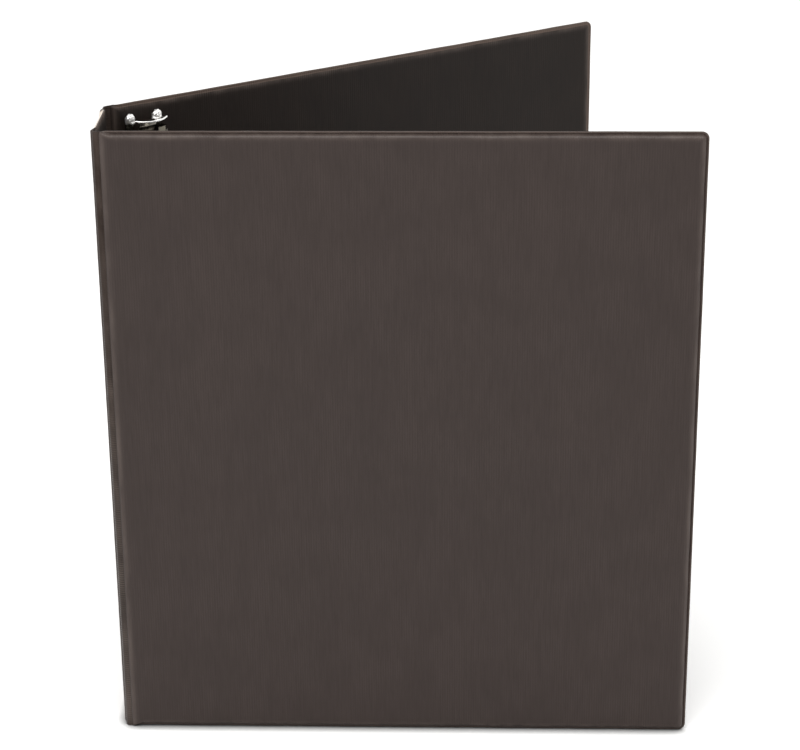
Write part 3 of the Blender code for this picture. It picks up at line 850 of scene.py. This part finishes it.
def lever_stations():
    """Points spaced along the lever's line, each with its half width and distance from the rim."""
    line = lever_line()
    lengths = [0.0]
    for a, b in zip(line, line[1:]):
        lengths.append(lengths[-1] + (b - a).length)
    total = lengths[-1]
    fine = [total - TAB_DEPTH * (1 - i / 22) ** 1.4 for i in range(23)]
    coarse = [total - TAB_DEPTH - (total - TAB_DEPTH) * (1 - i / 26) for i in range(26)]
    stations = []
    for length in coarse + fine:
        k = max(i for i in range(len(line) - 1) if lengths[i] <= length + 1e-12)
        share = (length - lengths[k]) / max(lengths[k + 1] - lengths[k], 1e-12)
        point = line[k].lerp(line[k + 1], min(share, 1.0))
        from_rim = total - length
        if from_rim <= TAB_DEPTH:
            half = max(tab_half_width(from_rim), 0.7 * MM)
        elif point.x < -2.0 * MM:
            half = LEVER_TONGUE
        else:
            half = LEVER_TONGUE + (LEVER_NECK - LEVER_TONGUE) * float(
                smoothstep((point.x + 2.0 * MM) / (1.2 * MM))
            )
        stations.append((point, half, from_rim))
    return stations


def make_levers(look):
    """Release levers of bent sheet, each with a dished lens-shaped thumb tab."""
    columns = 20
    stations = lever_stations()
    for label, sign in (("top", 1), ("bottom", -1)):
        points, faces = [], []
        for point, half, from_rim in stations:
            in_tab = float(smoothstep(1 - from_rim / (TAB_DEPTH * 1.1)))
            for k in range(columns + 1):
                a = 2 * k / columns - 1
                u = a * half
                lift = 0.9 * MM * (abs(u) / TAB_HALF) ** 2.2 * min(1.0, 2.5 * in_tab)
                curl = 0.18 * MM * (from_rim / TAB_DEPTH - 0.5) ** 2 * 4 * in_tab
                bow = 0.35 * MM * a * a * (1 - in_tab) * (point.x > 2.0 * MM)
                s, w = point.x + lift + curl, point.y - bow
                z = MIDDLE + sign * (LEVER_REACH + s)
                points.append(uvz(u, LEVER_V + w, z))
        for i in range(len(stations) - 1):
            for k in range(columns):
                a, b = i * (columns + 1), (i + 1) * (columns + 1)
                faces.append((a + k, a + k + 1, b + k + 1, b + k))
        mesh = mesh_from(f"lever_{label}_formed", points, faces, smooth_angle=180)
        made = add(f"lever_{label}_formed", mesh, BACK, look)
        wall = made.modifiers.new("sheet", "SOLIDIFY")
        wall.thickness = 0.75 * MM
        wall.offset = 0.0
        wall.use_even_offset = True
        smooth = made.modifiers.new("smooth", "SUBSURF")
        smooth.levels = smooth.render_levels = 1
        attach(made, f"lever_{label}")
        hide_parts(f"lever_{label}")


# ---------------- materials


def nodes_of(name):
    made = bpy.data.materials.new(name)
    made.use_nodes = True
    tree = made.node_tree
    return made, tree, tree.nodes["Principled BSDF"]


def feed(tree, socket, value):
    """Links a socket to an output given as (node, output), or else sets its value."""
    if isinstance(value, tuple) and isinstance(value[0], bpy.types.Node):
        tree.links.new(value[0].outputs[value[1]], socket)
    else:
        socket.default_value = value


def node(tree, kind, settings=(), **inputs):
    """A shader node with its properties and sockets set."""
    made = tree.nodes.new(kind)
    for key, value in dict(settings).items():
        setattr(made, key, value)
    for key, value in inputs.items():
        place = int(key[1:]) if key[0] == "_" else key.replace("__", " ")
        feed(tree, made.inputs[place], value)
    return made


def math_node(tree, operation, a, b):
    return node(tree, "ShaderNodeMath", {"operation": operation}, _0=a, _1=b), 0


def map_range(tree, source, low, high, to_low, to_high):
    made = node(
        tree, "ShaderNodeMapRange", {"clamp": True}, Value=source, From__Min=low, From__Max=high,
        To__Min=to_low, To__Max=to_high,
    )
    return made, "Result"


def mix_color(tree, share, first, second):
    return node(tree, "ShaderNodeMix", {"data_type": "RGBA"}, _0=share, _6=first, _7=second), 2


def scaled(tree, scale):
    """Object coordinates, stretched."""
    place = node(tree, "ShaderNodeTexCoord")
    return node(tree, "ShaderNodeMapping", {}, Vector=(place, "Object"), Scale=scale), "Vector"


def noise_at(tree, scale, detail=2.0, roughness=0.5):
    place = scaled(tree, scale)
    values = {"Vector": place, "Scale": 1.0, "Detail": detail, "Roughness": roughness}
    return node(tree, "ShaderNodeTexNoise", {}, **values), "Fac"


def upright_place(tree):
    """A point's height in its own object's frame."""
    place = node(tree, "ShaderNodeTexCoord")
    return node(tree, "ShaderNodeSeparateXYZ", {}, Vector=(place, "Object")), "Z"


def raise_grain(tree, shader, strength, distance, height):
    """Gives a surface a relief from a height pattern."""
    bump = node(tree, "ShaderNodeBump", {}, Strength=strength, Distance=distance, Height=height)
    feed(tree, shader.inputs["Normal"], (bump, 0))


def vinyl(name, color, light_color, flange, roughness, emboss, gloss, shine, rib_highlight_strength=0.0):
    """Embossed vinyl: fine upright lines in patches, pebble, uneven tone, a lighter shoulder that is
    partly wear and partly painted highlight, a shinier welded edge in its flange colour, and painted
    highlights on ribs for hinge strips.
    """
    made, tree, shader = nodes_of(name)
    grain = noise_at(tree, (1050, 300, 95), 2.0, 0.55)
    patches = map_range(tree, noise_at(tree, (55, 55, 38), 2.0), 0.4, 0.62, 0.15, 1.0)
    lines = node(
        tree, "ShaderNodeTexWave", {"bands_direction": "X"}, Vector=scaled(tree, (1, 1, 0.05)),
        Scale=285.0, Distortion=1.6, Detail=1.0, Detail__Scale=0.35,
    )
    ribs = math_node(tree, "MULTIPLY", (lines, "Fac"), patches)
    cross = noise_at(tree, (620, 400, 900), 1.0)
    pebble = noise_at(tree, (3000, 3000, 3000), 1.0)
    edge = node(tree, "ShaderNodeAttribute", {"attribute_name": "edge"})
    hatch = map_range(tree, (edge, "Fac"), 0.0, 1.0, 0.5, 3.2)
    height = grain
    for pattern, share in ((ribs, hatch), (cross, 0.35), (pebble, 0.22)):
        height = math_node(tree, "ADD", height, math_node(tree, "MULTIPLY", pattern, share))
    raise_grain(tree, shader, emboss, 0.07 * MM, height)
    cloud = noise_at(tree, (14, 14, 11), 3.0, 0.6)
    streak = map_range(tree, grain, 0.3, 0.7, 0.0, 1.0)
    tone = math_node(tree, "MULTIPLY", cloud, 0.4)
    tone = math_node(tree, "ADD", tone, math_node(tree, "MULTIPLY", streak, 0.3))
    tone = math_node(tree, "ADD", tone, math_node(tree, "MULTIPLY", ribs, 0.35))
    tone = map_range(tree, tone, 0.2, 0.8, 0.0, 1.0)
    base = mix_color(tree, tone, (*color, 1.0), (*light_color, 1.0))
    # A lighter colour over the rounded shoulder, in patches: partly wear, partly a painted highlight.
    wear_and_sheen = map_range(tree, (edge, "Fac"), 0.0, 1.0, 0.0, 0.42)
    patchiness = map_range(tree, noise_at(tree, (160, 160, 60), 3.0), 0.3, 0.8, 0.2, 0.9)
    wear_and_sheen = math_node(tree, "MULTIPLY", wear_and_sheen, patchiness)
    base = mix_color(tree, wear_and_sheen, base, (0.14, 0.11, 0.095, 1.0))
    # The welded flange's colour; on the spine and the inner skins this much lighter colour is a painted
    # highlight along the top edges.
    on_flange = map_range(tree, (edge, "Fac"), 1.1, 1.9, 0.0, 1.0)
    uneven = map_range(tree, noise_at(tree, (90, 90, 70), 2.0), 0.3, 0.6, 0.8, 1.0)
    on_flange = math_node(tree, "MULTIPLY", on_flange, uneven)
    base = mix_color(tree, on_flange, base, (*flange, 1.0))
    # Light dashes on the strip's rib crests are painted highlights; they and the shine fade toward the
    # top as painted shade.
    if rib_highlight_strength:
        rib_highlight_mask = node(
            tree, "ShaderNodeTexWave", {"bands_direction": "Z"}, Vector=scaled(tree, (1, 1, 1)),
            Scale=0.314 / RIB_PITCH, Distortion=0.3, Detail=1.0,
        )
        rib_highlight_mask = map_range(tree, (rib_highlight_mask, "Fac"), 0.6, 0.95, 0.0, rib_highlight_strength)
        gaps = map_range(tree, noise_at(tree, (60, 60, 45), 2.0), 0.42, 0.58, 0.1, 1.0)
        up = upright_place(tree)
        # Fainter toward the top of the strip: painted shade there.
        lower = map_range(tree, up, 0.8 * HEIGHT, 0.35 * HEIGHT, 0.08, 1.0)
        rib_highlight_mask = math_node(tree, "MULTIPLY", math_node(tree, "MULTIPLY", rib_highlight_mask, gaps), lower)
        base = mix_color(tree, rib_highlight_mask, base, (0.16, 0.13, 0.11, 1.0))
        shine_shaded_at_top = map_range(tree, up, 0.9 * HEIGHT, 0.35 * HEIGHT, 0.2 * shine, shine)
        feed(tree, shader.inputs["Specular IOR Level"], shine_shaded_at_top)
    feed(tree, shader.inputs["Base Color"], base)
    smooth_edge = map_range(tree, (edge, "Fac"), 0.0, 1.0, 0.0, gloss)
    rough = map_range(tree, cloud, 0.3, 0.7, roughness - 0.04, roughness + 0.05)
    rough = math_node(tree, "SUBTRACT", rough, smooth_edge)
    feed(tree, shader.inputs["Roughness"], rough)
    shader.inputs["Specular IOR Level"].default_value = shine
    shader.inputs["IOR"].default_value = 1.5
    return made


def plated(name, color, roughness, grain_scale, grain_depth, ends=None, satin=0.0):
    """Nickel plate: fine draw lines and slight haze. Past ends from the middle it is whitened as a
    painted highlight.
    """
    made, tree, shader = nodes_of(name)
    lines = noise_at(tree, grain_scale, 3.0, 0.6)
    haze = noise_at(tree, (260, 260, 190), 3.0, 0.6)
    raise_grain(tree, shader, 0.35, grain_depth, lines)
    darker = tuple(c * 0.8 for c in color)
    base = mix_color(tree, map_range(tree, haze, 0.35, 0.7, 0.0, 1.0), (*color, 1.0), (*darker, 1.0))
    rough = map_range(tree, haze, 0.3, 0.75, roughness * 0.75, roughness * 1.6)
    if ends:
        # Whitened ends: a painted highlight on the housing's lugs and the lever's tab.
        away = math_node(tree, "SUBTRACT", upright_place(tree), MIDDLE)
        away = math_node(tree, "ABSOLUTE", away, 0.0)
        end_highlight = map_range(tree, away, ends, ends + 1.2 * MM, 0.0, 1.0)
        base = mix_color(tree, end_highlight, base, (0.93, 0.92, 0.9, 1.0))
        rough = math_node(tree, "ADD", rough, math_node(tree, "MULTIPLY", end_highlight, satin))
        metal = map_range(tree, end_highlight, 0.0, 1.0, 1.0, 1.0 - 2.5 * max(satin, 0.0))
        feed(tree, shader.inputs["Metallic"], metal)
    feed(tree, shader.inputs["Base Color"], base)
    feed(tree, shader.inputs["Roughness"], rough)
    shader.inputs["Metallic"].default_value = 1.0
    return made


def chipboard(name):
    """Grey-brown recycled board with short fibres and specks."""
    made, tree, shader = nodes_of(name)
    fibre = noise_at(tree, (900, 900, 300), 4.0, 0.7)
    speck = noise_at(tree, (420, 420, 420), 2.0)
    tone = map_range(tree, fibre, 0.3, 0.7, 0.0, 1.0)
    base = mix_color(tree, tone, (0.26, 0.21, 0.16, 1.0), (0.4, 0.34, 0.27, 1.0))
    dark = map_range(tree, speck, 0.62, 0.7, 0.0, 0.6)
    base = mix_color(tree, dark, base, (0.1, 0.085, 0.07, 1.0))
    feed(tree, shader.inputs["Base Color"], base)
    raise_grain(tree, shader, 0.5, 0.08 * MM, fibre)
    shader.inputs["Roughness"].default_value = 0.92
    return made


# ---------------- camera, light and floor

CAMERA_PLACE = Vector((164.85, -1027.4, 609.9)) * MM
CAMERA_YAW = math.radians(-1.962)
CAMERA_PITCH = math.radians(23.065)
CAMERA_ROLL = math.radians(-0.52)
CAMERA_LENS = 111.8
SENSOR = 36.0


def make_camera():
    data = bpy.data.cameras.new("camera")
    data.lens, data.sensor_width = CAMERA_LENS, SENSOR
    data.clip_start, data.clip_end = 0.02, 50.0
    camera = bpy.data.objects.new("camera", data)
    bpy.context.scene.collection.objects.link(camera)
    turn = Matrix.Rotation(-CAMERA_YAW, 4, "Z")
    tilt = Matrix.Rotation(math.radians(90) - CAMERA_PITCH, 4, "X")
    roll = Matrix.Rotation(CAMERA_ROLL, 4, "Z")
    camera.matrix_world = Matrix.Translation(CAMERA_PLACE) @ turn @ tilt @ roll
    bpy.context.scene.camera = camera


def area_light(name, place, aim, size, power):
    data = bpy.data.lights.new(name, "AREA")
    data.shape = "RECTANGLE"
    data.size, data.size_y = size
    data.energy = power
    light = bpy.data.objects.new(name, data)
    bpy.context.scene.collection.objects.link(light)
    light.location = place
    light.rotation_mode = "QUATERNION"
    light.rotation_quaternion = (Vector(aim) - Vector(place)).to_track_quat("-Z", "Y")


def make_world():
    world = bpy.data.worlds.new("studio")
    world.use_nodes = True
    tree = world.node_tree
    background = tree.nodes["Background"]
    place = node(tree, "ShaderNodeTexCoord")
    split = node(tree, "ShaderNodeSeparateXYZ", {}, Vector=(place, "Generated"))
    share = map_range(tree, (split, "Z"), -0.1, 0.9, 0.0, 1.0)
    sky = mix_color(tree, share, (0.98, 0.98, 0.98, 1.0), (1.0, 0.99, 0.975, 1.0))
    feed(tree, background.inputs["Color"], sky)
    background.inputs["Strength"].default_value = 1.1
    bpy.context.scene.world = world


def make_floor():
    """A pale studio floor with a faint unevenness of tone, darkened near the binder by ambient occlusion
    as a painted contact shadow.
    """
    made, tree, shader = nodes_of("studio_floor")
    cloud = noise_at(tree, (3, 3, 3), 2.0)
    tone = mix_color(tree, cloud, (0.9, 0.9, 0.9, 1.0), (0.94, 0.94, 0.935, 1.0))
    # Painted contact shadow: the floor's colour darkens toward black where ambient occlusion finds the
    # binder near.
    near = node(tree, "ShaderNodeAmbientOcclusion", {"samples": 8}, Distance=5 * MM)
    near = math_node(tree, "POWER", (near, "AO"), 1.5)
    tone = mix_color(tree, near, (0.0, 0.0, 0.0, 1.0), tone)
    feed(tree, shader.inputs["Base Color"], tone)
    shader.inputs["Roughness"].default_value = 0.9
    shader.inputs["Specular IOR Level"].default_value = 0.1
    reach = 6.0
    mesh = bpy.data.meshes.new("floor")
    corners = [(-reach, -reach, 0), (reach, -reach, 0), (reach, reach, 0), (-reach, reach, 0)]
    mesh.from_pydata(corners, [], [(0, 1, 2, 3)])
    floor = add("floor", mesh, Matrix.Translation((0, 0, cad_low.z - 0.05 * MM)), made)


def make_stage():
    make_camera()
    make_world()
    make_floor()
    area_light("overhead", (0.1, -0.7, 1.6), (0.12, -0.3, 0.0), (1.4, 1.0), 18)
    area_light("front_left", (-0.9, -1.3, 1.1), (0.12, 0.0, 0.2), (0.9, 1.0), 3.5)
    bpy.context.scene.view_settings.view_transform = "Standard"


# ---------------- the binder


def dress(name, look):
    """Gives its material to a CAD node that stays in the scene."""
    materials = frame["nodes"][name].data.materials
    materials.clear()
    materials.append(look)


def main():
    face = ((0.0205, 0.0128, 0.0105), (0.03, 0.02, 0.0172))
    outer = vinyl("black_vinyl_outer", *face, (0.05, 0.034, 0.027), 0.5, 0.5, 0.12, 0.26)
    # The inner skins share the outer vinyl but are given a far darker colour, painted shade of the
    # binder's inside; their much lighter flange colour is a painted highlight.
    inner = vinyl(
        "black_vinyl_inner_shaded", (0.007, 0.0045, 0.0034), (0.0125, 0.0082, 0.006), (0.085, 0.06, 0.048),
        0.5, 0.45, 0.1, 0.17,
    )
    # The spine's beige flange colour is a painted highlight along its top and bottom edges.
    spine_vinyl_with_lit_edges = vinyl("black_vinyl_spine_lit_edges", *face, (0.6, 0.53, 0.46), 0.5, 0.5, 0.12, 0.26)
    # The weld strip's dark colour is partly the weld's own tone and partly painted shade of its recessed
    # groove.
    strip = vinyl(
        "black_vinyl_weld", (0.0075, 0.0045, 0.0033), (0.014, 0.0085, 0.0065), (0.03, 0.02, 0.016),
        0.4, 0.3, 0.06, 0.15, 0.3,
    )
    steel = plated("nickel_plated_steel", (0.36, 0.34, 0.3), 0.16, (1400, 1400, 60), 0.004 * MM)
    # The housing's nickel is given a far darker colour than the rings' as painted shade, and its lug
    # ends are whitened as a painted highlight.
    lug_steel = plated(
        "nickel_plated_housing_painted_light", (0.15, 0.137, 0.11), 0.2, (1400, 1400, 60), 0.004 * MM,
        136.4 * MM, 0.1,
    )
    # The lever's nickel is darker than the rings' as painted shade of its neck, and its tab end is
    # whitened as a painted highlight.
    lever_steel = plated(
        "nickel_plated_lever_painted_light", (0.3, 0.28, 0.24), 0.16, (700, 700, 700), 0.002 * MM,
        138.3 * MM, -0.07,
    )
    bright = plated("bright_nickel", (0.86, 0.84, 0.8), 0.07, (500, 500, 500), 0.002 * MM)
    board = chipboard("chipboard")
    for number, prefix in enumerate(PANELS):
        make_skin(prefix, "outer", spine_vinyl_with_lit_edges if prefix == "spine" else outer, 11 + number)
        make_skin(prefix, "inner", inner, 31 + number)
        dress(f"{prefix}_board", board)
    straight = math.radians(90)
    make_strip(
        "front_hinge_strip", "front_hinge_vinyl", FRONT, straight, True,
        strip, 51,
    )
    back_corner = Matrix.Translation(joint_point("back_hinge"))
    make_strip(
        "back_hinge_strip", "back_hinge_vinyl", back_corner, straight - OPENING, False,
        strip, 52,
    )
    make_pocket("front", inner, 61)
    make_pocket("back", inner, 62)
    make_housing(lug_steel)
    make_rings(bright)
    make_rivets(bright)
    make_pins(steel)
    make_levers(lever_steel)
    for name in ("hinge_plate_spine_side", "hinge_plate_page_side"):
        dress(name, steel)
    make_stage()


main()
